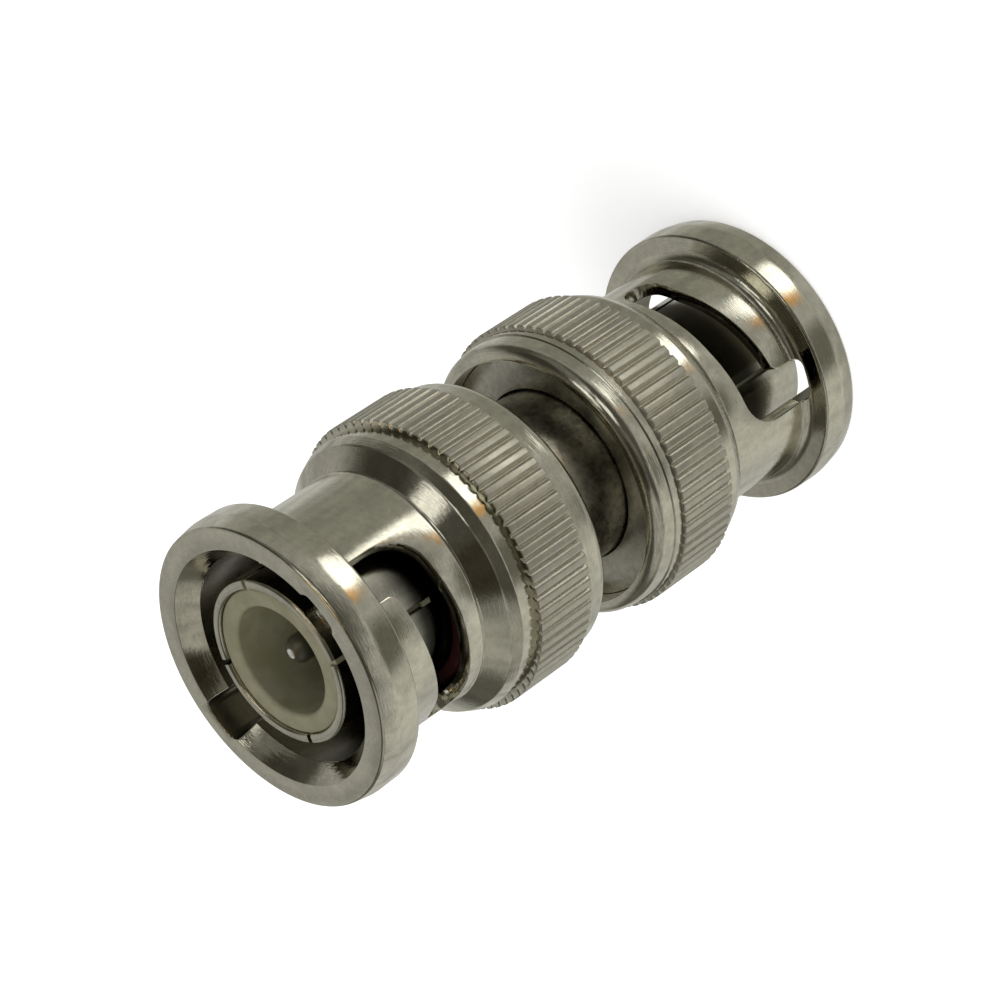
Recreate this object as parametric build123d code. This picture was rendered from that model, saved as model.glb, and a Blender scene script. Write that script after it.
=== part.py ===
from build123d import *
from collections import namedtuple
from math import cos, radians, sin
import os

# A coaxial bayonet connector with a plug at both ends, in millimetres. It stands upright on the
# bottom plug's mating face, +Z runs along its axis, and the origin is in the middle of that face.
# Each piece is drawn once, as the top plug's, in a frame whose origin is the mating face and whose
# +Z points out of the connector, so a depth of 5 lies at z = -5. place_end then puts it at one end.

# Overall
overall_length = 32.86

# Clearances
running_clearance = 0.08
press_clearance = 0.01
face_clearance = 0.02

# Outer contact
contact_tip_depth = 0.57
contact_bore_radius = 3.63
contact_wall = 0.47
contact_tip_chamfer = 0.12
slit_count = 4
slit_width = 0.30
slit_end_depth = 6.60
contact_turn = 45
flange_thickness = 1.30
spigot_wall = 0.28
spigot_length = 3.50

# Gasket, on a wider seat at the foot of the outer contact
gasket_seat_wall = 0.68
gasket_seat_length = 1.45
gasket_wall = 0.68
gasket_edge_chamfer = 0.12

# Insulator and centre pin
insulator_tip_depth = 0.70
insulator_bore_radius = 2.68
insulator_bore_depth = 6.50
insulator_edge_chamfer = 0.12
pin_radius = 0.675
pin_shank_radius = 0.90
pin_tip_depth = 1.40
pin_tip_rounding = 0.50
pin_collar_radius = 1.20
pin_collar_length = 2.00

# Centre barrel
barrel_wall = 0.48

# Coupling sleeve, inside; the mating jack's shell fills the gap round the outer contact
mating_gap = 1.10
lead_in_width = 0.65
lead_in_depth = 0.93
cavity_depth = 8.58
cavity_step = 0.75
closing_ring_step = 0.40

# Coupling sleeve, outside
rim_wall = 1.95
rim_length = 2.20
rim_crown = 0.25
rim_crown_depth = 1.00
rim_edge_chamfer = 0.22
rim_rear_taper = 0.04
neck_wall = 0.65
neck_root_chamfer = 0.40
shoulder_lead = 0.83
shoulder_length = 0.70
shoulder_rise = 0.93
band_rise = 0.27
knurl_length = 3.40
knurl_wall = 1.10
knurl_tooth_height = 0.20
knurl_gap = 0.44
knurl_teeth = 90
groove_width = 0.45
groove_wall = 0.40
tail_length = 1.13
tail_wall = 0.58
tail_edge_chamfer = 0.28

# Bayonet slots: two entry grooves, each running into a helical slot with a round detent
entry_width = 2.20
entry_floor_rise = 0.30
entry_corner_radius = 0.45
entry_end_depth = 4.75
slot_width = 2.15
slot_rise = 1.10
detent_return = 0.14
detent_radius = 1.12
SlotPoint = namedtuple("SlotPoint", "angle depth")
slot_route = [
    SlotPoint(0, entry_end_depth),
    SlotPoint(35, entry_end_depth + 0.7 * slot_rise),
    SlotPoint(73, entry_end_depth + slot_rise),
    SlotPoint(82, entry_end_depth + slot_rise - detent_return),
]
top_entry_angle = -62
bottom_entry_angle = 98

# Thrust washer, wave washers and closing ring, behind the flange
wave_washer_count = 2
wave_count = 3
wave_washer_thickness = 0.25
wave_height = 0.635
wave_washer_clearance = 0.18
thrust_washer_thickness = 0.45
closing_ring_thickness = 1.57
rear_recess_depth = 0.94

# Radii worked out from the sizes above, from the axis outwards
insulator_radius = contact_bore_radius - press_clearance
contact_radius = contact_bore_radius + contact_wall
spigot_radius = contact_bore_radius + spigot_wall
spigot_seat_radius = spigot_radius + press_clearance
gasket_seat_radius = contact_bore_radius + gasket_seat_wall
gasket_bore_radius = gasket_seat_radius + press_clearance
gasket_radius = gasket_bore_radius + gasket_wall
barrel_radius = spigot_seat_radius + barrel_wall
ring_bore_radius = barrel_radius + running_clearance
bore_radius = contact_radius + mating_gap
cavity_radius = bore_radius + cavity_step
flange_radius = cavity_radius - running_clearance
closing_ring_seat_radius = cavity_radius + closing_ring_step
closing_ring_radius = closing_ring_seat_radius - press_clearance
neck_radius = bore_radius + neck_wall
entry_radius = neck_radius + entry_floor_rise
rim_radius = bore_radius + rim_wall
shoulder_radius = neck_radius + shoulder_rise
band_radius = shoulder_radius + band_rise
groove_radius = closing_ring_seat_radius + groove_wall
tail_radius = closing_ring_seat_radius + tail_wall
knurl_crest_radius = closing_ring_seat_radius + knurl_wall
knurl_root_radius = knurl_crest_radius - knurl_tooth_height

# Depths worked out from the sizes above, along the stack from the mating face inwards
flange_depth = cavity_depth + face_clearance
gasket_seat_depth = flange_depth - gasket_seat_length
flange_end_depth = flange_depth + flange_thickness
spigot_end_depth = flange_end_depth + spigot_length
wave_washer_space = wave_height + wave_washer_thickness + 2 * face_clearance
thrust_washer_start_depth = flange_end_depth + wave_washer_count * wave_washer_space
thrust_washer_end_depth = thrust_washer_start_depth + thrust_washer_thickness
closing_ring_start_depth = thrust_washer_end_depth + face_clearance
closing_ring_end_depth = closing_ring_start_depth + closing_ring_thickness
sleeve_length = closing_ring_end_depth + rear_recess_depth
groove_end_depth = sleeve_length - tail_length
knurl_end_depth = groove_end_depth - groove_width
knurl_start_depth = knurl_end_depth - knurl_length
neck_end_depth = cavity_depth - shoulder_lead
middle_depth = overall_length / 2


def turned(profile):
    """A full turn of a half section that lies in the XZ plane."""
    return revolve(make_face(profile), Axis.Z)


def ring(outer_radius, inner_radius, start_depth, end_depth):
    """A plain washer or tube between two depths."""
    flat = Circle(outer_radius) - Circle(inner_radius)
    return extrude(Pos(Z=-end_depth) * flat, end_depth - start_depth)


def rod(radius, start_depth, end_depth):
    """A plain round bar between two depths."""
    return extrude(Pos(Z=-end_depth) * Circle(radius), end_depth - start_depth)


def sleeve_blank():
    """The turned sleeve before its slots and knurl: rim, neck, shoulder, tail and stepped bore."""
    shoulder_end_depth = neck_end_depth + shoulder_length
    tail_chamfer_depth = sleeve_length - tail_edge_chamfer
    outline = Polyline(
        (rim_radius - rim_crown, 0, 0),
        (rim_radius, 0, -rim_crown_depth),
        (rim_radius - rim_rear_taper, 0, rim_edge_chamfer - rim_length),
        (rim_radius - rim_rear_taper - rim_edge_chamfer, 0, -rim_length),
        (neck_radius + neck_root_chamfer, 0, -rim_length),
        (neck_radius, 0, -rim_length - neck_root_chamfer),
        (neck_radius, 0, -neck_end_depth),
        (shoulder_radius, 0, -shoulder_end_depth),
        (band_radius, 0, -shoulder_end_depth - band_rise),
        (band_radius, 0, -knurl_end_depth),
        (groove_radius, 0, -knurl_end_depth),
        (groove_radius, 0, -groove_end_depth),
        (tail_radius, 0, -groove_end_depth),
        (tail_radius, 0, -tail_chamfer_depth),
        (tail_radius - tail_edge_chamfer, 0, -sleeve_length),
        (closing_ring_seat_radius, 0, -sleeve_length),
        (closing_ring_seat_radius, 0, -closing_ring_start_depth),
        (cavity_radius, 0, -closing_ring_start_depth),
        (cavity_radius, 0, -cavity_depth),
        (bore_radius, 0, -cavity_depth),
        (bore_radius, 0, -lead_in_depth),
        (bore_radius + lead_in_width, 0, 0),
        close=True,
    )
    return turned(outline)


def knurl():
    """A ring of straight teeth, rolled round the sleeve, with its root in the sleeve's wall."""
    notch_top = knurl_root_radius + 2 * knurl_tooth_height
    notch = make_face(
        Polyline(
            (knurl_root_radius, 0),
            (notch_top, -knurl_gap),
            (notch_top, knurl_gap),
            close=True,
        )
    )
    notches = [Rot(Z=index * 360 / knurl_teeth) * notch for index in range(knurl_teeth)]
    wall_middle = (closing_ring_seat_radius + knurl_root_radius) / 2
    flat = Circle(knurl_crest_radius) - notches - Circle(wall_middle)
    return extrude(Pos(Z=-knurl_end_depth) * flat, knurl_length)


def entry_groove():
    """A groove for one stud, milled in the bore from the mating face to the slot."""
    start_radius = bore_radius / 2
    height = entry_radius - start_radius
    section = Pos(X=start_radius + height / 2) * Rectangle(height, entry_width)
    outer_corners = section.vertices().group_by(Axis.X)[-1]
    section = fillet(outer_corners, entry_corner_radius)
    return extrude(Pos(Z=-entry_end_depth) * section, entry_end_depth)


def slot_leg(start, end):
    """One run of the slot, wrapped round the neck from one route point to the next."""
    height = abs(end.depth - start.depth)
    pitch = height * 360 / (end.angle - start.angle)
    lower = max(start, end, key=lambda point: point.depth)
    path = Helix(pitch, height, neck_radius, lefthand=lower is start)
    cut_depth = 2 * (neck_radius - bore_radius) + 1
    square_to_path = Plane(origin=path @ 0, x_dir=(1, 0, 0), z_dir=path % 0)
    section = square_to_path * Rectangle(cut_depth, slot_width)
    leg = sweep(section, path, is_frenet=True)
    return Pos(Z=-lower.depth) * Rot(Z=-lower.angle) * leg


def radial_hole(point, radius):
    """A round hole drilled through the neck towards the axis at a route point."""
    drill = Rot(Y=90) * Cylinder(radius, neck_radius, align=(Align.CENTER, Align.CENTER, Align.MIN))
    return Pos(Z=-point.depth) * Rot(Z=-point.angle) * Pos(X=bore_radius / 2) * drill


def bayonet_cutters():
    """Everything that is cut for one stud: groove, slot, its round bends and the detent."""
    legs = [slot_leg(start, end) for start, end in zip(slot_route, slot_route[1:])]
    corner = radial_hole(slot_route[0], entry_width / 2)
    bends = [radial_hole(point, slot_width / 2 + press_clearance) for point in slot_route[1:-1]]
    detent = radial_hole(slot_route[-1], detent_radius)
    return [entry_groove(), corner, detent] + legs + bends


def coupling_sleeve():
    """The sleeve that a hand pushes and turns."""
    sleeve = sleeve_blank() + knurl()
    for turn in (0, 180):
        for cutter in bayonet_cutters():
            sleeve -= Rot(Z=turn) * cutter
    return sleeve


def outer_contact():
    """A slit tube with the flange that carries the sleeve and a spigot for the barrel.

    The first slit lies half a pitch away from +X.
    """
    tube = ring(contact_radius, contact_bore_radius, contact_tip_depth, gasket_seat_depth)
    tip_edges = tube.edges().group_by(Axis.Z)[-1]
    tube = chamfer(tip_edges, contact_tip_chamfer)
    seat = ring(gasket_seat_radius, contact_bore_radius, gasket_seat_depth, flange_depth)
    flange = ring(flange_radius, contact_bore_radius, flange_depth, flange_end_depth)
    spigot = ring(spigot_radius, contact_bore_radius, flange_end_depth, spigot_end_depth)
    slit = Pos(X=contact_radius, Z=-slit_end_depth) * Box(
        contact_radius,
        slit_width,
        slit_end_depth,
        align=(Align.CENTER, Align.CENTER, Align.MIN),
    )
    body = tube + seat + flange + spigot
    for index in range(slit_count):
        body -= Rot(Z=(index + 0.5) * 360 / slit_count) * slit
    return body


def insulator():
    """A moulded cup round the pin, on a solid base that reaches the middle of the barrel."""
    hole_radius = pin_shank_radius + press_clearance
    body = ring(insulator_radius, hole_radius, insulator_tip_depth, middle_depth)
    cup = rod(insulator_bore_radius, insulator_tip_depth, insulator_bore_depth)
    collar_room = rod(
        pin_collar_radius + press_clearance,
        middle_depth - pin_collar_length / 2 - face_clearance,
        middle_depth,
    )
    body = body - cup - collar_room
    tip_edges = body.edges().group_by(Axis.Z)[-1]
    return chamfer(tip_edges, insulator_edge_chamfer)


def gasket():
    """A rubber ring at the foot of the outer contact, which the mating jack presses on."""
    body = ring(
        gasket_radius,
        gasket_bore_radius,
        gasket_seat_depth + face_clearance,
        flange_depth,
    )
    front_edges = body.edges().group_by(Axis.Z)[-1]
    return chamfer(front_edges, gasket_edge_chamfer)


def closing_ring():
    """The ring pressed into the rear of the sleeve, which runs on the barrel."""
    return ring(
        closing_ring_radius, ring_bore_radius, closing_ring_start_depth, closing_ring_end_depth
    )


def thrust_washer():
    """The flat washer between the closing ring, which turns, and the wave washers."""
    return ring(
        cavity_radius - running_clearance,
        ring_bore_radius,
        thrust_washer_start_depth,
        thrust_washer_end_depth,
    )


def wavy_circle(radius, height, depth, phase):
    """A closed curve that rises and falls round a circle."""
    steps = 8 * wave_count
    angles = [360 * step / steps for step in range(steps)]
    points = []
    for angle in angles:
        lift = height * cos(radians(wave_count * angle + phase))
        points.append((radius * cos(radians(angle)), radius * sin(radians(angle)), lift - depth))
    return Spline(points, periodic=True)


def wave_washer(index):
    """A ring bent into waves: the spring that draws the mated connectors together."""
    middle = flange_end_depth + (index + 0.5) * wave_washer_space
    inner_radius = barrel_radius + wave_washer_clearance
    outer_radius = cavity_radius - wave_washer_clearance
    front = middle - wave_washer_thickness / 2
    rear = middle + wave_washer_thickness / 2
    corners = [
        wavy_circle(radius, wave_height / 2, depth, 180 * index)
        for radius, depth in (
            (inner_radius, front),
            (outer_radius, front),
            (outer_radius, rear),
            (inner_radius, rear),
        )
    ]
    faces = [
        Face.make_surface_from_curves(edge, following)
        for edge, following in zip(corners, corners[1:] + corners[:1])
    ]
    return Solid(Shell(faces))


def centre_barrel():
    """The tube between the plugs, bored wider at both ends for the outer contacts' spigots."""
    start = flange_end_depth + face_clearance
    body = ring(barrel_radius, contact_bore_radius, start, overall_length - start)
    seat_depth = spigot_end_depth + face_clearance
    top_seat = rod(spigot_seat_radius, start, seat_depth)
    bottom_seat = rod(spigot_seat_radius, overall_length - seat_depth, overall_length - start)
    return body - top_seat - bottom_seat


def centre_pin():
    """One pin through both plugs, with a thicker shank and a collar that the insulators trap."""
    body = rod(pin_radius, pin_tip_depth, overall_length - pin_tip_depth)
    tips = body.edges().group_by(Axis.Z)
    body = fillet(tips[-1] + tips[0], pin_tip_rounding)
    shank = rod(pin_shank_radius, insulator_bore_depth, overall_length - insulator_bore_depth)
    half_collar = pin_collar_length / 2
    collar = rod(pin_collar_radius, middle_depth - half_collar, middle_depth + half_collar)
    return body + shank + collar


def place_end(end, piece, turn=0):
    """Put a piece of the plug at the top end or, turned over, at the bottom end."""
    if end == "top":
        return Pos(Z=overall_length) * Rot(Z=turn) * piece
    return Rot(X=180) * Rot(Z=turn) * piece


os.makedirs("parts", exist_ok=True)

pieces = {
    "centre_barrel": place_end("top", centre_barrel()),
    "centre_pin": place_end("top", centre_pin()),
}
sleeve = coupling_sleeve()
for end, entry_angle in (("top", top_entry_angle), ("bottom", bottom_entry_angle)):
    pieces[f"{end}_coupling_sleeve"] = place_end(end, sleeve, entry_angle)
    pieces[f"{end}_outer_contact"] = place_end(end, outer_contact(), contact_turn)
    pieces[f"{end}_insulator"] = place_end(end, insulator())
    pieces[f"{end}_gasket"] = place_end(end, gasket())
    pieces[f"{end}_closing_ring"] = place_end(end, closing_ring())
    pieces[f"{end}_thrust_washer"] = place_end(end, thrust_washer())
    for index, row in enumerate(("front", "rear")):
        pieces[f"{end}_{row}_wave_washer"] = place_end(end, wave_washer(index))

for name, piece in pieces.items():
    export_step(piece, f"parts/{name}.step")
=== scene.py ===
from math import atan2, cos, hypot, pi, radians, sin, tan

import bmesh
import bpy
from mathutils import Matrix, Vector


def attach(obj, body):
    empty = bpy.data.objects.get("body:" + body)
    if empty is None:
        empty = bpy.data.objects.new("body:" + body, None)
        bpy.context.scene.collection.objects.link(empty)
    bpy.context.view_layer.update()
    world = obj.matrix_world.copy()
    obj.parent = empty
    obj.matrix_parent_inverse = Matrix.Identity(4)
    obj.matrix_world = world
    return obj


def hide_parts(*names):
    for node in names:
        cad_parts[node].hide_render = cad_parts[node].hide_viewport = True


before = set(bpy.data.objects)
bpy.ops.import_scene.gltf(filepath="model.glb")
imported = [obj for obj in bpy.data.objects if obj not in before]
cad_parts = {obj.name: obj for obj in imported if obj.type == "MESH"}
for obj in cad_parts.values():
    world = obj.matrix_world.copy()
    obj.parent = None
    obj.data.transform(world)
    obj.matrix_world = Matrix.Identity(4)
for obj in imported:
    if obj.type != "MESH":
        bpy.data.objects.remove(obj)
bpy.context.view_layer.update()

# The two coupling sleeves: turned brass under bright nickel, with a straight knurl, two entry
# grooves in the bore and two helical slots milled through the neck. Each one turns and slides on
# the flange of its outer contact. Sizes are in millimetres, and depths start at the mating face.
mm = 0.001
overall_length = 32.86
ends = {"top": -62, "bottom": 98}  # the two plugs, and by how many degrees their sleeves are turned

neck_radius = 5.85
bore_radius = 5.20
flange_bore = 5.95
flange_seat = 8.58
ring_bore = 6.35
ring_seat = 12.22
rim_end = 2.20
sleeve_end = 14.73
knurl_start = 9.75
knurl_end = 13.15
knurl_crest = 7.445
knurl_root = 7.25
knurl_teeth = 74
columns_per_tooth = 10
groove_floor_radius = 6.15
slot_start = 2.60
sleeve_seam = -2.5
sleeve_girth = 2 * pi * neck_radius
plated_faces, dull_painted_shade_faces, lead_in_faces, knurled_faces = range(4)


def rounded_outline(corners, steps=5):
    """Points of a closed outline whose corners (a, b, rounding) are rounded by arcs."""
    points = []
    count = len(corners)
    smallest_full_arc = 0.1
    for index, (a, b, rounding) in enumerate(corners):
        corner = Vector((a, b))
        if not rounding:
            points.append(corner)
            continue
        before = (Vector(corners[index - 1][:2]) - corner).normalized()
        after = (Vector(corners[(index + 1) % count][:2]) - corner).normalized()
        half_angle = before.angle(after) / 2
        middle = corner + (before + after).normalized() * (rounding / sin(half_angle))
        start = corner + before * (rounding / tan(half_angle)) - middle
        end = corner + after * (rounding / tan(half_angle)) - middle
        sweep = start.angle_signed(end)
        arc_steps = steps if rounding >= smallest_full_arc else 2
        for step in range(arc_steps + 1):
            turned = start.copy()
            turned.rotate(Matrix.Rotation(-sweep * step / arc_steps, 2))
            points.append(middle + turned)
    return points


def prism(points, low, high, place):
    """A closed bar of the given outline; place turns (a, b, height) into a position."""
    bar = bmesh.new()
    face = bar.faces.new([bar.verts.new(place(a, b, low)) for a, b in points])
    side = bmesh.ops.extrude_face_region(bar, geom=[face])["geom"]
    step = Vector(place(0, 0, high)) - Vector(place(0, 0, low))
    bmesh.ops.translate(bar, verts=[v for v in side if isinstance(v, bmesh.types.BMVert)], vec=step)
    bmesh.ops.recalc_face_normals(bar, faces=bar.faces)
    return bar


def as_object(bar, name):
    """A new object that holds a finished bmesh, which is used up."""
    mesh = bpy.data.meshes.new(name)
    bar.to_mesh(mesh)
    bar.free()
    made = bpy.data.objects.new(name, mesh)
    bpy.context.scene.collection.objects.link(made)
    return made


def combine(blank, tools, operation="DIFFERENCE"):
    """The blank's bmesh after each tool is cut out of it or joined to it. The tools are used up."""
    target = as_object(blank, "blank")
    for tool in tools:
        step = target.modifiers.new("combine", "BOOLEAN")
        step.operation = operation
        step.solver = "EXACT"
        step.object = as_object(tool, "tool")
    shape = bmesh.new()
    shape.from_object(target, bpy.context.evaluated_depsgraph_get())
    for used in [step.object for step in target.modifiers] + [target]:
        bpy.data.objects.remove(used)
    return shape


def is_end(face):
    """Whether a face closes an unrolled shape at one of its two ends. The walls of a slit lie the
    same way, but they are smaller."""
    smallest_end = 5.0
    return abs(face.normal.x) > 0.999 and face.calc_area() > smallest_end


def sort_faces(shape):
    """Gives each face of the unrolled sleeve the number of its finish, which is plated unless it
    lies in a groove, in the bore, on the inner cone or on the knurl. Returns the milled faces."""
    milled = set()
    for face in shape.faces:
        centre = face.calc_center_median()
        on_floor = abs(centre.y - groove_floor_radius) < 1e-4
        in_neck = centre.y < neck_radius
        if not is_end(face) and (on_floor or abs(face.normal.x) > 0.01):
            milled.add(face)
            face.material_index = dull_painted_shade_faces if -centre.z < slot_start else plated_faces
        elif face.normal.y < -0.99 and in_neck:
            face.material_index = dull_painted_shade_faces
        elif face.normal.y < -0.3 and face.normal.z > 0.3 and in_neck:
            face.material_index = lead_in_faces
        elif centre.y > knurl_root:
            face.material_index = knurled_faces
    return milled


def soften_cut_edges(shape, milled, width):
    """Breaks the edges that a milling cutter leaves between its walls and the turned surfaces."""
    sharp_angle = radians(25)
    edges = [
        edge
        for edge in shape.edges
        if len(edge.link_faces) == 2
        and (edge.link_faces[0] in milled) != (edge.link_faces[1] in milled)
        and edge.calc_face_angle() > sharp_angle
        and not any(is_end(face) for face in edge.link_faces)
    ]
    softened = bmesh.ops.bevel(
        shape, geom=edges, offset=width, segments=2, affect="EDGES", profile=0.5, material=-1
    )
    for face in softened["faces"]:
        face.material_index = plated_faces


def roll_up(shape, seam, radius, columns):
    """Cuts an unrolled shape into narrow columns and wraps them round the Z axis."""
    girth = 2 * pi * radius
    caps = [face for face in shape.faces if is_end(face)]
    bmesh.ops.delete(shape, geom=caps, context="FACES_ONLY")
    uncut = list(shape.faces)
    for column in range(1, columns):
        plane_x = seam + girth * column / columns
        edges = {edge for face in uncut for edge in face.edges}
        verts = {vert for face in uncut for vert in face.verts}
        split = bmesh.ops.bisect_plane(
            shape,
            geom=[*verts, *edges, *uncut],
            dist=1e-5,
            plane_co=(plane_x, 0, 0),
            plane_no=(1, 0, 0),
        )
        faces = [item for item in split["geom"] if isinstance(item, bmesh.types.BMFace)]
        uncut = [face for face in faces if face.calc_center_bounds().x > plane_x]
    for vertex in shape.verts:
        angle = -vertex.co.x / radius
        vertex.co = (vertex.co.y * cos(angle), vertex.co.y * sin(angle), vertex.co.z)
    bmesh.ops.remove_doubles(shape, verts=shape.verts, dist=1e-4)
    bmesh.ops.recalc_face_normals(shape, faces=shape.faces)


def mark_sharp_edges(shape):
    """Smooth faces, with a crease wherever two of them meet at more than the crease angle."""
    crease_angle = radians(32)
    for face in shape.faces:
        face.smooth = True
    for edge in shape.edges:
        edge.smooth = len(edge.link_faces) == 2 and edge.calc_face_angle() < crease_angle


def on_end(shape, end, turn, name):
    """A copy of a millimetre shape as an object in metres, at the top or bottom plug and turned
    by so many degrees."""
    place = Matrix.Translation((0, 0, overall_length)) if end == "top" else Matrix.Rotation(pi, 4, "X")
    turned = place @ Matrix.Rotation(radians(turn), 4, "Z")
    copy = shape.copy()
    bmesh.ops.transform(copy, verts=copy.verts, matrix=Matrix.Scale(mm, 4) @ turned)
    return as_object(copy, name)


# A sleeve is drawn unrolled, with X along its girth, Y as the radius and -Z as the depth, and is
# then rolled up. Its seam is clear of the slots. Each corner is a radius, a depth and a rounding.
sleeve_outline = rounded_outline(
    [
        (5.90, 0.00, 0.05),
        (6.98, 0.00, 0.16),
        (7.15, 0.95, 1.50),
        (7.12, rim_end, 0.16),
        (neck_radius, rim_end, 0.50),
        (neck_radius, 7.62, 0.25),
        (5.98, 7.72, 0.04),
        (6.82, 8.42, 0.35),
        (7.06, 8.95, 0.30),
        (7.06, knurl_start, 0.00),
        (knurl_crest, knurl_start, 0.06),
        (knurl_crest, knurl_end, 0.10),
        (7.20, knurl_end, 0.03),
        (7.20, 13.56, 0.04),
        (7.12, 13.60, 0.02),
        (7.08, sleeve_end, 0.66),
        (ring_bore, sleeve_end, 0.05),
        (ring_bore, ring_seat, 0.00),
        (flange_bore, ring_seat, 0.00),
        (flange_bore, flange_seat, 0.00),
        (bore_radius, flange_seat, 0.05),
        (bore_radius, 0.93, 0.10),
    ]
)
degree = sleeve_girth / 360
slot_half_width = 1.10
detent_angle = 82
detent_half_width = 1.12
slot_end = detent_angle * degree + detent_half_width
slot_outline = rounded_outline(
    [
        (-slot_half_width, slot_start, 0.00),
        (-slot_half_width, 6.02, 2.00),
        (35 * degree, 6.62, 2.50),
        (73 * degree, 6.85, 1.50),
        (slot_end, 6.80, 1.00),
        (slot_end, 4.75, 0.95),
        (71 * degree, 4.85, 0.60),
        (35 * degree, 4.22, 2.50),
        (slot_half_width, 3.84, 0.50),
        (slot_half_width, slot_start, 0.00),
    ],
    steps=8,
)
inside_bore = 4.0
outside_neck = 6.8
before_rim = -0.5
groove_overlap = 0.02
groove_half_width = 1.13
groove_outline = rounded_outline(
    [
        (-groove_half_width, inside_bore, 0.0),
        (groove_half_width, inside_bore, 0.0),
        (groove_half_width, groove_floor_radius, 0.5),
        (-groove_half_width, groove_floor_radius, 0.5),
    ],
    steps=6,
)


def entry_cutters(shift):
    """One slot through the neck, and the groove under the rim that leads to it."""
    slot = prism(slot_outline, inside_bore, outside_neck, lambda a, b, r: (a + shift, r, -b))
    groove_end = slot_start + groove_overlap
    groove = prism(groove_outline, before_rim, groove_end, lambda a, r, b: (a + shift, r, -b))
    return [slot, groove]


blank = prism(sleeve_outline, sleeve_seam, sleeve_seam + sleeve_girth, lambda r, b, x: (x, r, -b))
sleeve_shape = combine(blank, entry_cutters(0) + entry_cutters(sleeve_girth / 2))
milled = sort_faces(sleeve_shape)
soften_cut_edges(sleeve_shape, milled, width=0.05)
roll_up(sleeve_shape, sleeve_seam, neck_radius, knurl_teeth * columns_per_tooth)
mark_sharp_edges(sleeve_shape)

# The knurl: the band's columns are pressed in between wide flat crests. Its creases were marked
# while it was still round, so the crests have soft edges. What a softened edge leaves proud of the
# rim is set back flush with it.
crest_widening = 0.36
margin = 0.01
for vertex in sleeve_shape.verts:
    vertex.co.z = min(vertex.co.z, 0.0)
    radius = hypot(vertex.co.x, vertex.co.y)
    if radius > knurl_root and knurl_start - margin < -vertex.co.z < knurl_end + margin:
        angle = atan2(vertex.co.y, vertex.co.x)
        tooth = (angle + sleeve_seam / neck_radius) * knurl_teeth
        radius = knurl_root + (radius - knurl_root) * min(1, 1 + cos(tooth))
        angle += crest_widening * sin(tooth) / knurl_teeth
        vertex.co.x = radius * cos(angle)
        vertex.co.y = radius * sin(angle)


class Signal:
    """An output socket of a finish; an expression on signals adds its Math nodes."""

    def __init__(self, finish, socket):
        self.finish = finish
        self.socket = socket

    def also(self, output):
        """Another output of the node that this one comes from."""
        return Signal(self.finish, self.socket.node.outputs[output])

    def math(self, operation, other=0.0):
        """This signal and another through one Math node."""
        return self.finish.node("Math", {"operation": operation}, {0: self, 1: other})

    def __add__(self, other):
        return self.math("ADD", other)

    def __sub__(self, other):
        return self.math("SUBTRACT", other)

    def __rsub__(self, other):
        return self * -1 + other

    def __mul__(self, other):
        return self.math("MULTIPLY", other)

    def __pow__(self, other):
        return self.math("POWER", other)

    __radd__ = __add__
    __rmul__ = __mul__


class Finish:
    """The node tree of one finish, empty at first."""

    def __init__(self, tree):
        self.tree = tree
        self.tree.nodes.clear()

    def node(self, kind, settings=None, sockets=None, output=0):
        """Any node: its settings first, then the values or links of its sockets."""
        node = self.tree.nodes.new("ShaderNode" + kind)
        for name, setting in (settings or {}).items():
            setattr(node, name, setting)
        for name, value in (sockets or {}).items():
            if isinstance(value, Signal):
                self.tree.links.new(value.socket, node.inputs[name])
            else:
                node.inputs[name].default_value = value
        return Signal(self, node.outputs[output]) if node.outputs else None

    def noise(self, place, scale, detail, roughness=0.5):
        """A soft random pattern; a larger scale makes it finer."""
        sockets = {"Vector": place, "Scale": scale, "Detail": detail, "Roughness": roughness}
        return self.node("TexNoise", sockets=sockets)

    def ramp(self, value, low, high, to_low=0.0, to_high=1.0):
        """A smooth step from one level to another."""
        limits = {"From Min": low, "From Max": high, "To Min": to_low, "To Max": to_high}
        return self.node("MapRange", {"interpolation_type": "SMOOTHSTEP"}, {"Value": value, **limits})

    def mix(self, factor, first, second):
        """A blend of two colours."""
        return self.node("Mix", {"data_type": "RGBA"}, {0: factor, 6: first, 7: second}, output=2)

    def bump(self, height, depth):
        """A normal that follows a height; depth is in metres."""
        return self.node("Bump", sockets={"Strength": 0.35, "Distance": depth, "Height": height})

    def surface(self, colour, roughness, normal, metallic=0.0):
        """A plain or metal surface, joined to the material's output."""
        look = {"Base Color": colour, "Roughness": roughness, "Normal": normal, "Metallic": metallic}
        shader = self.node("BsdfPrincipled", sockets=look)
        self.node("OutputMaterial", sockets={"Surface": shader})


def new_finish(name):
    """A material with an empty tree, and that tree as a Finish."""
    material = bpy.data.materials.new(name)
    material.use_nodes = True
    return material, Finish(material.node_tree)


def turned_place(finish, place):
    """Radius, height and angle as a vector, in millimetres and radians: a texture on it runs round
    the axis in fine rings, as a lathe tool leaves them."""
    x = finish.node("SeparateXYZ", sockets={0: place}, output="X")
    y, z = x.also("Y"), x.also("Z")
    radius = (x * x + y * y) ** 0.5
    angle = y.math("ARCTAN2", x)
    in_mm = {"X": radius * (1 / mm), "Y": z * (1 / mm)}
    return finish.node("CombineXYZ", sockets={**in_mm, "Z": angle})


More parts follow.
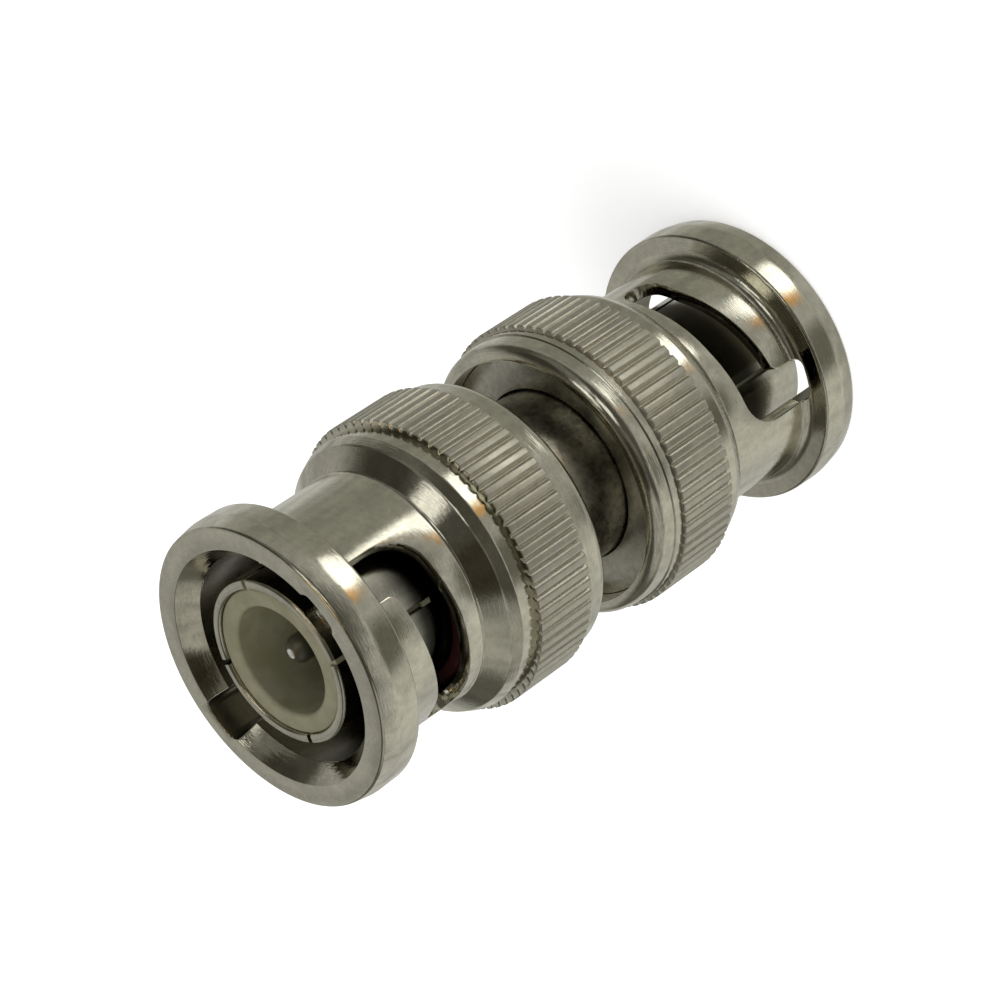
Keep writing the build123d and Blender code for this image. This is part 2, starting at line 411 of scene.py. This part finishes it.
def nickel(
    name, colour, roughness, rings=0.6, grain=0.35, mottle=0.2, ring_scale=14.0, painted_shade=None
):
    """Nickel plate over turned brass: tool rings, soft grain, small pits and darker patches.
    Painted shade, where given, darkens it from one depth to another, in millimetres, to a share of its
    colour, standing in for the shade deep in a bore."""
    material, finish = new_finish(name)
    place = finish.node("TexCoord", output="Object")
    ring_lines = finish.noise(turned_place(finish, place), ring_scale, detail=3.0, roughness=0.6)
    fine = finish.noise(place, scale=2600.0, detail=4.0, roughness=0.65)
    cloud = finish.noise(place, scale=420.0, detail=3.0)
    pit_cells = finish.node("TexVoronoi", sockets={"Vector": place, "Scale": 1500.0})
    pits = finish.ramp(pit_cells, low=0.06, high=0.16)
    bump = finish.bump(ring_lines * rings + fine * grain + pits * 0.25, depth=0.02 * mm)
    patch = tuple((1 - mottle) * part for part in colour[:3]) + (1.0,)
    clear_of_patches = finish.ramp(cloud * 0.5 + fine * 0.5, low=0.35, high=0.65)
    shade = finish.mix(clear_of_patches, patch, colour)
    # Painted shade: the plate darkens with depth into the bore.
    if painted_shade:
        start, end, share = painted_shade
        height = finish.node("SeparateXYZ", sockets={0: place}, output="Z") * (1 / mm)
        depth = overall_length / 2 - (height - overall_length / 2).math("ABSOLUTE")
        painted_shade_tone = tuple(share * part for part in colour[:3]) + (1.0,)
        shade = finish.mix(finish.ramp(depth + cloud * 0.6, start, end), shade, painted_shade_tone)
    rough = finish.ramp(cloud, 0.3, 0.7, to_low=roughness * 0.8, to_high=roughness * 1.25)
    finish.surface(shade, rough, bump, metallic=1.0)
    return material


def dress(piece, *materials):
    """Gives a piece its finishes, in the order of their numbers, in place of any it came with."""
    if piece.data.materials:
        piece.data.materials.clear()
    for material in materials:
        piece.data.materials.append(material)


plated = nickel("sleeve_nickel_plate", (0.68, 0.655, 0.54, 1), 0.07, rings=0.8)
# The grooves and the bore get a dull finish whose dark colour is painted shade, standing in for the
# shade deep inside the sleeve.
dull_with_painted_shade = nickel("sleeve_inside_dull_painted_shade", (0.20, 0.185, 0.135, 1), 0.30, rings=0.3, grain=0.0, mottle=0.3)
lead_in = nickel("sleeve_lead_in_cone", (0.68, 0.65, 0.53, 1), 0.05, rings=1.5, ring_scale=6.0)
knurled = nickel("sleeve_knurled_band", (0.63, 0.61, 0.51, 1), 0.42, rings=0.2, grain=0.9)
for end, turn in ends.items():
    sleeve = on_end(sleeve_shape, end, turn, f"{end}_sleeve")
    dress(sleeve, plated, dull_with_painted_shade, lead_in, knurled)
    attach(sleeve, f"{end}_sleeve")
    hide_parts(f"{end}_coupling_sleeve")


# The two closing rings: flat nickel-plated rings pressed into the rear of the sleeves, a little
# below their rims. They have a satin face and run on the centre barrel with a thin gap.
def turned_shape(corners, segments, steps=4):
    """A solid with the given (radius, depth, rounding) corners, turned about Z. An outline that
    starts and ends on the axis has no edge along it."""
    shape = bmesh.new()
    points = rounded_outline(corners, steps)
    verts = [shape.verts.new((radius, 0, -depth)) for radius, depth in points]
    edges = [
        shape.edges.new((verts[index - 1], verts[index]))
        for index in range(len(verts))
        if points[index - 1].x > 0 or points[index].x > 0
    ]
    bmesh.ops.spin(
        shape,
        geom=verts + edges,
        cent=(0, 0, 0),
        axis=(0, 0, 1),
        angle=2 * pi,
        steps=segments,
        use_merge=True,
        use_duplicate=False,
    )
    bmesh.ops.remove_doubles(shape, verts=shape.verts, dist=1e-4)
    bmesh.ops.recalc_face_normals(shape, faces=shape.faces)
    mark_sharp_edges(shape)
    return shape


barrel_radius = 4.40
ring_inner_radius = barrel_radius + 0.08
ring_radius = 6.33
ring_end = 13.79
ring_shape = turned_shape(
    [
        (ring_inner_radius, ring_seat, 0.05),
        (ring_radius, ring_seat, 0.05),
        (ring_radius, ring_end, 0.06),
        (ring_inner_radius, ring_end, 0.05),
    ],
    segments=256,
)
ring_finish = nickel("ring_satin_plate", (0.60, 0.585, 0.50, 1), 0.27, grain=0.6, mottle=0.35)
for end in ends:
    closing_ring = on_end(ring_shape, end, 0, f"{end}_ring")
    dress(closing_ring, ring_finish)
    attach(closing_ring, f"{end}_sleeve")
    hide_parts(f"{end}_closing_ring")

# The outer contacts: nickel-plated brass tubes with four saw slits, so that they spring inside a
# jack. The slits end just before the gasket. Behind it a flange carries the sleeve, and a spigot is
# pressed into the barrel.
contact_start = 0.57
contact_radius = 4.10
contact_bore = 3.63
gasket_seat = 7.15
gasket_seat_radius = 4.31
flange_start = 8.60
flange_end = 9.90
flange_radius = 5.87
spigot_radius = 3.91
spigot_end = 13.40
slit_end = 6.60
slit_half_width = 0.14
inside_wall = 3.3
outside_wall = 4.4
# A contact is drawn unrolled too, with its seam half-way between two slits.
contact_girth = 2 * pi * contact_radius
contact_seam = -contact_girth / 8
contact_outline = rounded_outline(
    [
        (contact_bore, contact_start, 0.12),
        (contact_radius, contact_start, 0.14),
        (contact_radius, gasket_seat, 0.03),
        (gasket_seat_radius, gasket_seat, 0.00),
        (gasket_seat_radius, flange_start, 0.00),
        (flange_radius, flange_start, 0.10),
        (flange_radius, flange_end, 0.10),
        (spigot_radius, flange_end, 0.00),
        (spigot_radius, spigot_end, 0.05),
        (contact_bore, spigot_end, 0.05),
    ]
)
slit_outline = rounded_outline(
    [
        (-slit_half_width, 0.0, 0.0),
        (-slit_half_width, slit_end, 0.10),
        (slit_half_width, slit_end, 0.10),
        (slit_half_width, 0.0, 0.0),
    ]
)


def slit_cutter(shift):
    """One saw slit through the tube's wall."""
    return prism(slit_outline, inside_wall, outside_wall, lambda a, b, r: (a + shift, r, -b))


blank = prism(
    contact_outline, contact_seam, contact_seam + contact_girth, lambda r, b, x: (x, r, -b)
)
contact_shape = combine(blank, [slit_cutter(contact_girth * quarter / 4) for quarter in range(4)])
roll_up(contact_shape, contact_seam, contact_radius, columns=256)
mark_sharp_edges(contact_shape)
# Painted shade deep in the bore: the depths between which the plate darkens, and the share of its
# colour that is left.
painted_shade_depths = {"top": (4.9, 6.3, 0.06), "bottom": (2.9, 4.3, 0.16)}
for end in ends:
    contact_finish = nickel(
        f"{end}_contact_nickel_plate", (0.62, 0.60, 0.50, 1), 0.12, painted_shade=painted_shade_depths[end]
    )
    contact = on_end(contact_shape, end, 0, f"{end}_contact")
    dress(contact, contact_finish)
    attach(contact, "root")
    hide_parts(f"{end}_outer_contact")

# The insulators: moulded cream plastic cups that line the outer contacts and hold the centre pin
# in their solid bases. The lip of each cup is softly rounded. The plastic stands up a little in the
# contact's slits, most of all at their ends.
cup_start = 0.70
cup_floor = 6.50
cup_end = 16.42
cup_radius = 3.62
cup_bore = 2.68
collar_seat = 15.41
collar_hole = 1.21
shank_hole = 0.91
insulator_shape = turned_shape(
    [
        (cup_radius, cup_start, 0.12),
        (cup_radius, cup_end, 0.02),
        (collar_hole, cup_end, 0.00),
        (collar_hole, collar_seat, 0.00),
        (shank_hole, collar_seat, 0.00),
        (shank_hole, cup_floor, 0.05),
        (cup_bore, cup_floor, 0.25),
        (cup_bore, cup_start, 0.22),
    ],
    segments=192,
)
rib_half_width = 0.12
rib_start = 0.90
rib_radius = 3.84
nib_start = 6.05
nib_end = 6.54
nib_radius = 4.16
lip_nib_start = 0.71
lip_nib_end = 1.70
lip_nib_radius = 4.06


def slit_rib(quarter, start, end, radius):
    """A straight rib on the cup, in one of the contact's slits."""
    angle = quarter * pi / 2
    outline = [
        (-rib_half_width, start),
        (rib_half_width, start),
        (rib_half_width, end),
        (-rib_half_width, end),
    ]

    def place(across, depth, r):
        return r * cos(angle) - across * sin(angle), r * sin(angle) + across * cos(angle), -depth

    return prism(outline, inside_wall, radius, place)


ribs = [slit_rib(quarter, rib_start, nib_end, rib_radius) for quarter in range(4)]
nibs = [slit_rib(quarter, nib_start, nib_end, nib_radius) for quarter in range(4)]
# In two of the slits the plastic also stands up at the lip.
lip_nibs = [slit_rib(quarter, lip_nib_start, lip_nib_end, lip_nib_radius) for quarter in (0, 3)]
insulator_shape = combine(insulator_shape, ribs + nibs + lip_nibs, "UNION")
mark_sharp_edges(insulator_shape)
material, finish = new_finish("insulator_cream_plastic")
place = finish.node("TexCoord", output="Object")
mottle = finish.noise(place, scale=900.0, detail=4.0, roughness=0.6)
fine = finish.noise(place, scale=6000.0, detail=2.0)
# The cream is painted down to a dark olive as shade inside the outer contacts. Its mottle is the
# plastic's own.
cream_with_painted_shade = finish.mix(finish.ramp(mottle, 0.35, 0.65), (0.165, 0.155, 0.090, 1), (0.20, 0.19, 0.12, 1))
rough = finish.ramp(mottle, 0.3, 0.7, to_low=0.42, to_high=0.55)
finish.surface(cream_with_painted_shade, rough, finish.bump(mottle * 0.6 + fine * 0.4, depth=0.03 * mm))
for end in ends:
    insulator = on_end(insulator_shape, end, 0, f"{end}_insulating_cup")
    dress(insulator, material)
    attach(insulator, "root")
    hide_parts(f"{end}_insulator")

# The gaskets: dark red rubber rings stretched over the foot of each outer contact, against its
# flange, where the mating jack presses on them.
gasket_start = 7.17
gasket_bore = 4.32
gasket_radius = 5.00
gasket_shape = turned_shape(
    [
        (gasket_bore, gasket_start, 0.16),
        (gasket_radius, gasket_start, 0.18),
        (gasket_radius, flange_start, 0.10),
        (gasket_bore, flange_start, 0.05),
    ],
    segments=192,
)
material, finish = new_finish("gasket_red_rubber")
place = finish.node("TexCoord", output="Object")
dust = finish.noise(place, scale=1500.0, detail=5.0, roughness=0.7)
# The red is darkened nearly to black as painted shade, because the gaskets sit deep in the sleeves.
# The speckle is the rubber's own.
red_with_painted_shade = finish.mix(finish.ramp(dust, 0.4, 0.7), (0.013, 0.0015, 0.0012, 1), (0.034, 0.0045, 0.004, 1))
finish.surface(red_with_painted_shade, 0.55, finish.bump(dust, depth=0.03 * mm))
for end in ends:
    gasket = on_end(gasket_shape, end, 0, f"{end}_seal")
    dress(gasket, material)
    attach(gasket, "root")
    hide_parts(f"{end}_gasket")

# The thrust washers and wave washers: plain spring steel, hidden between the flanges and the
# closing rings. Their own solids are right as they are, so they only get a brushed finish.
material, finish = new_finish("washer_brushed_steel")
place = finish.node("TexCoord", output="Object")
brushing = finish.noise(turned_place(finish, place), scale=30.0, detail=4.0)
tint = finish.mix(brushing, (0.34, 0.34, 0.35, 1), (0.46, 0.46, 0.47, 1))
finish.surface(tint, 0.35, finish.bump(brushing, depth=0.02 * mm), metallic=1.0)
for end in ends:
    for node in ("thrust_washer", "front_wave_washer", "rear_wave_washer"):
        dress(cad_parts[f"{end}_{node}"], material)

# The centre barrel: a plain nickel-plated tube between the plugs, bored wider at both ends for
# the spigots that are pressed into it.
barrel_start = 9.92
seat_end = 13.42
seat_radius = spigot_radius + 0.01
barrel_shape = turned_shape(
    [
        (barrel_radius, barrel_start, 0.05),
        (barrel_radius, overall_length - barrel_start, 0.05),
        (seat_radius, overall_length - barrel_start, 0.00),
        (seat_radius, overall_length - seat_end, 0.00),
        (contact_bore, overall_length - seat_end, 0.00),
        (contact_bore, seat_end, 0.00),
        (seat_radius, seat_end, 0.00),
        (seat_radius, barrel_start, 0.00),
    ],
    segments=256,
)
barrel = on_end(barrel_shape, "top", 0, "barrel")
barrel_finish = nickel("barrel_worn_plate", (0.66, 0.63, 0.51, 1), 0.26, grain=1.6, mottle=0.7)
dress(barrel, barrel_finish)
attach(barrel, "root")
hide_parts("centre_barrel")

# The centre pin: one plated brass pin through both plugs, with domed tips, a thicker shank in the
# insulators and a collar in the middle that they trap.
pin_radius = 0.675
pin_tip = 1.40
pin_rounding = 0.60
shank_radius = 0.90
collar_radius = 1.20
collar_start = overall_length / 2 - 1
collar_end = overall_length / 2 + 1
pin_shape = turned_shape(
    [
        (0, pin_tip, 0.0),
        (pin_radius, pin_tip, pin_rounding),
        (pin_radius, cup_floor, 0.0),
        (shank_radius, cup_floor, 0.04),
        (shank_radius, collar_start, 0.0),
        (collar_radius, collar_start, 0.05),
        (collar_radius, collar_end, 0.05),
        (shank_radius, collar_end, 0.0),
        (shank_radius, overall_length - cup_floor, 0.04),
        (pin_radius, overall_length - cup_floor, 0.0),
        (pin_radius, overall_length - pin_tip, pin_rounding),
        (0, overall_length - pin_tip, 0.0),
    ],
    segments=96,
    steps=8,
)
pin = on_end(pin_shape, "top", 0, "pin")
material, finish = new_finish("pin_plate_painted_highlight_at_tip")
place = finish.node("TexCoord", output="Object")
across = finish.node("VectorMath", {"operation": "MULTIPLY"}, {0: place, 1: (1, 1, 0)})
from_axis = finish.node("VectorMath", {"operation": "LENGTH"}, {0: across}, output="Value")
grain = finish.noise(place, scale=2600.0, detail=4.0, roughness=0.65)
# The tip's bright spot is a painted highlight, and the rest of the pin is painted dark as shade, near
# the tone of the cup's floor around it.
outside_painted_highlight = finish.ramp(from_axis + grain * (0.06 * mm), low=0.24 * mm, high=0.31 * mm)
shade = finish.mix(outside_painted_highlight, (0.90, 0.89, 0.84, 1), (0.20, 0.19, 0.145, 1))
finish.surface(shade, outside_painted_highlight * 0.38 + 0.12, finish.bump(grain, depth=0.004 * mm), metallic=1.0)
dress(pin, material)
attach(pin, "root")
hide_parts("centre_pin")

# The floor: a plain white surface that keeps the connector's shadow. Metal doesn't mirror it: it
# mirrors the studio around it, which the world holds. No lamp reaches the patch under the lower
# plug's bore, so that patch glows a little more, to stay white where a slot shows it.
floor_half_width = 2000
patch_radius = 6.2
patch_full_radius = 6.0
even_glow = 0.40
patch_glow = 0.60
floor_shape = bmesh.new()
bmesh.ops.create_grid(floor_shape, x_segments=1, y_segments=1, size=floor_half_width * mm)
floor = as_object(floor_shape, "floor")
material, finish = new_finish("white_floor")
place = finish.node("TexCoord", output="Object")
from_axis = finish.node("VectorMath", {"operation": "LENGTH"}, {0: place}, output="Value")
under_bore = finish.ramp(from_axis, patch_radius * mm, patch_full_radius * mm)
seen = finish.node("LightPath", output="Is Camera Ray")
white = finish.node("BsdfDiffuse", sockets={"Color": (0.90, 0.90, 0.90, 1)})
strength = seen * (even_glow + under_bore * patch_glow)
glow = finish.node("Emission", sockets={"Color": (1, 1, 1, 1), "Strength": strength})
both = finish.node("AddShader", sockets={0: white, 1: glow})
finish.node("OutputMaterial", sockets={"Surface": both})
dress(floor, material)
floor.visible_glossy = False

# The studio: white for the camera, even light for plain surfaces, and for metal a dim room over a
# white table, with bright windows and dark furniture that its walls mirror.
world = bpy.data.worlds.new("studio")
world.use_nodes = True
studio = Finish(world.node_tree)
heading = studio.node("TexCoord", output="Generated")


def towards(azimuth, elevation):
    """The direction with an azimuth and an elevation in degrees."""
    azimuth, elevation = radians(azimuth), radians(elevation)
    return Vector((cos(azimuth) * cos(elevation), sin(azimuth) * cos(elevation), sin(elevation)))


def area_of_room(azimuth, elevation, inner, outer):
    """One inside a round area of the room, falling to zero at its soft edge."""
    aim = {0: heading, 1: towards(azimuth, elevation)}
    closeness = studio.node("VectorMath", {"operation": "DOT_PRODUCT"}, aim, output="Value")
    return studio.ramp(closeness, cos(radians(outer)), cos(radians(inner)))


table = (0.63, 0.63, 0.61, 1)
dark_room = (0.085, 0.083, 0.07, 1)
room = studio.mix(area_of_room(0, 90, 88, 106), table, dark_room)
# Each area: its colour, the azimuth and elevation of its middle, and the angles from there at which
# it starts and ends to fade. Later ones lie over earlier ones.
room_areas = [
    ((0.47, 0.47, 0.45, 1), 95, 12, 30, 52),
    ((0.15, 0.15, 0.13, 1), 165, 15, 8, 25),
    ((0.53, 0.53, 0.50, 1), -140, 29, 6, 22),
    ((1.70, 1.70, 1.65, 1), -20, 34, 5, 14),
    ((0.50, 0.50, 0.47, 1), -70, -75, 20, 75),
    ((0.62, 0.62, 0.59, 1), 120, -40, 10, 50),
    ((0.33, 0.33, 0.29, 1), 12, -36, 14, 46),
    ((0.74, 0.74, 0.69, 1), -148, -36, 6, 30),
    ((0.17, 0.17, 0.14, 1), -103, -36, 7, 22),
    ((0.09, 0.085, 0.07, 1), -70, 15, 12, 40),
    ((0.47, 0.47, 0.44, 1), -157, 22, 20, 40),
    ((0.20, 0.20, 0.18, 1), -4, 28, 12, 28),
    ((0.18, 0.18, 0.16, 1), -92, 38, 10, 24),
    ((0.030, 0.024, 0.015, 1), -106, 54, 10, 22),
    ((0.045, 0.042, 0.033, 1), 24, 42, 9, 20),
    ((1.40, 1.40, 1.35, 1), -50, 37, 6, 14),
    ((1.50, 1.50, 1.45, 1), -15, 61, 5, 12),
    ((2.00, 1.35, 0.60, 1), 65, 79, 5, 12),
    ((1.10, 0.62, 0.20, 1), -58, -33, 3, 8),
    ((2.80, 2.80, 2.70, 1), -40, -36, 6, 15),
]
for colour, azimuth, elevation, inner, outer in room_areas:
    room = studio.mix(area_of_room(azimuth, elevation, inner, outer), room, colour)
clutter = studio.noise(heading, scale=7.0, detail=4.0, roughness=0.6)
room = studio.mix(studio.ramp(clutter, low=0.42, high=0.60) * 0.35, room, dark_room)
camera_ray = studio.node("LightPath", output="Is Camera Ray")
plain = studio.mix(camera_ray, (0.70, 0.70, 0.70, 1), (1, 1, 1, 1))
seen_room = studio.mix(camera_ray.also("Is Glossy Ray"), plain, room)
light = studio.node("Background", sockets={"Color": seen_room})
studio.node("OutputWorld", sockets={"Surface": light})
bpy.context.scene.world = world

# The lamp: a wide soft disc over the connector that gives its shadow. Metal doesn't mirror it. Its
# size and place are in metres.
lamp_data = bpy.data.lights.new("softbox", "AREA")
lamp_data.shape = "DISK"
lamp_data.size = 0.30
lamp_data.energy = 0.55
lamp = bpy.data.objects.new("softbox", lamp_data)
lamp.location = (-0.12, -0.10, 0.32)
lamp.rotation_euler = (-lamp.location).to_track_quat("-Z", "Y").to_euler()
lamp.visible_glossy = False
bpy.context.scene.collection.objects.link(lamp)

# The camera stands where the photo was taken from: above the upper plug and rolled, so that the
# connector lies across the picture. Its lens, place and axes were fitted to the photo.
camera_data = bpy.data.cameras.new("camera")
camera_data.lens = 129.38
camera_data.sensor_width = 36
camera_data.clip_start = 0.01
camera = bpy.data.objects.new("camera", camera_data)
bpy.context.scene.collection.objects.link(camera)
bpy.context.scene.camera = camera
right = Vector((-0.35825, -0.64901, -0.67114))
up = Vector((0.89167, -0.02477, -0.45200))
forward = Vector((-0.27673, 0.76037, -0.58759))
axes = Matrix((right, up, -forward)).transposed().to_4x4()
camera_place = Vector((46.65, -126.78, 115.38)) * mm
camera.matrix_world = Matrix.Translation(camera_place) @ axes
bpy.context.scene.view_settings.view_transform = "Standard"
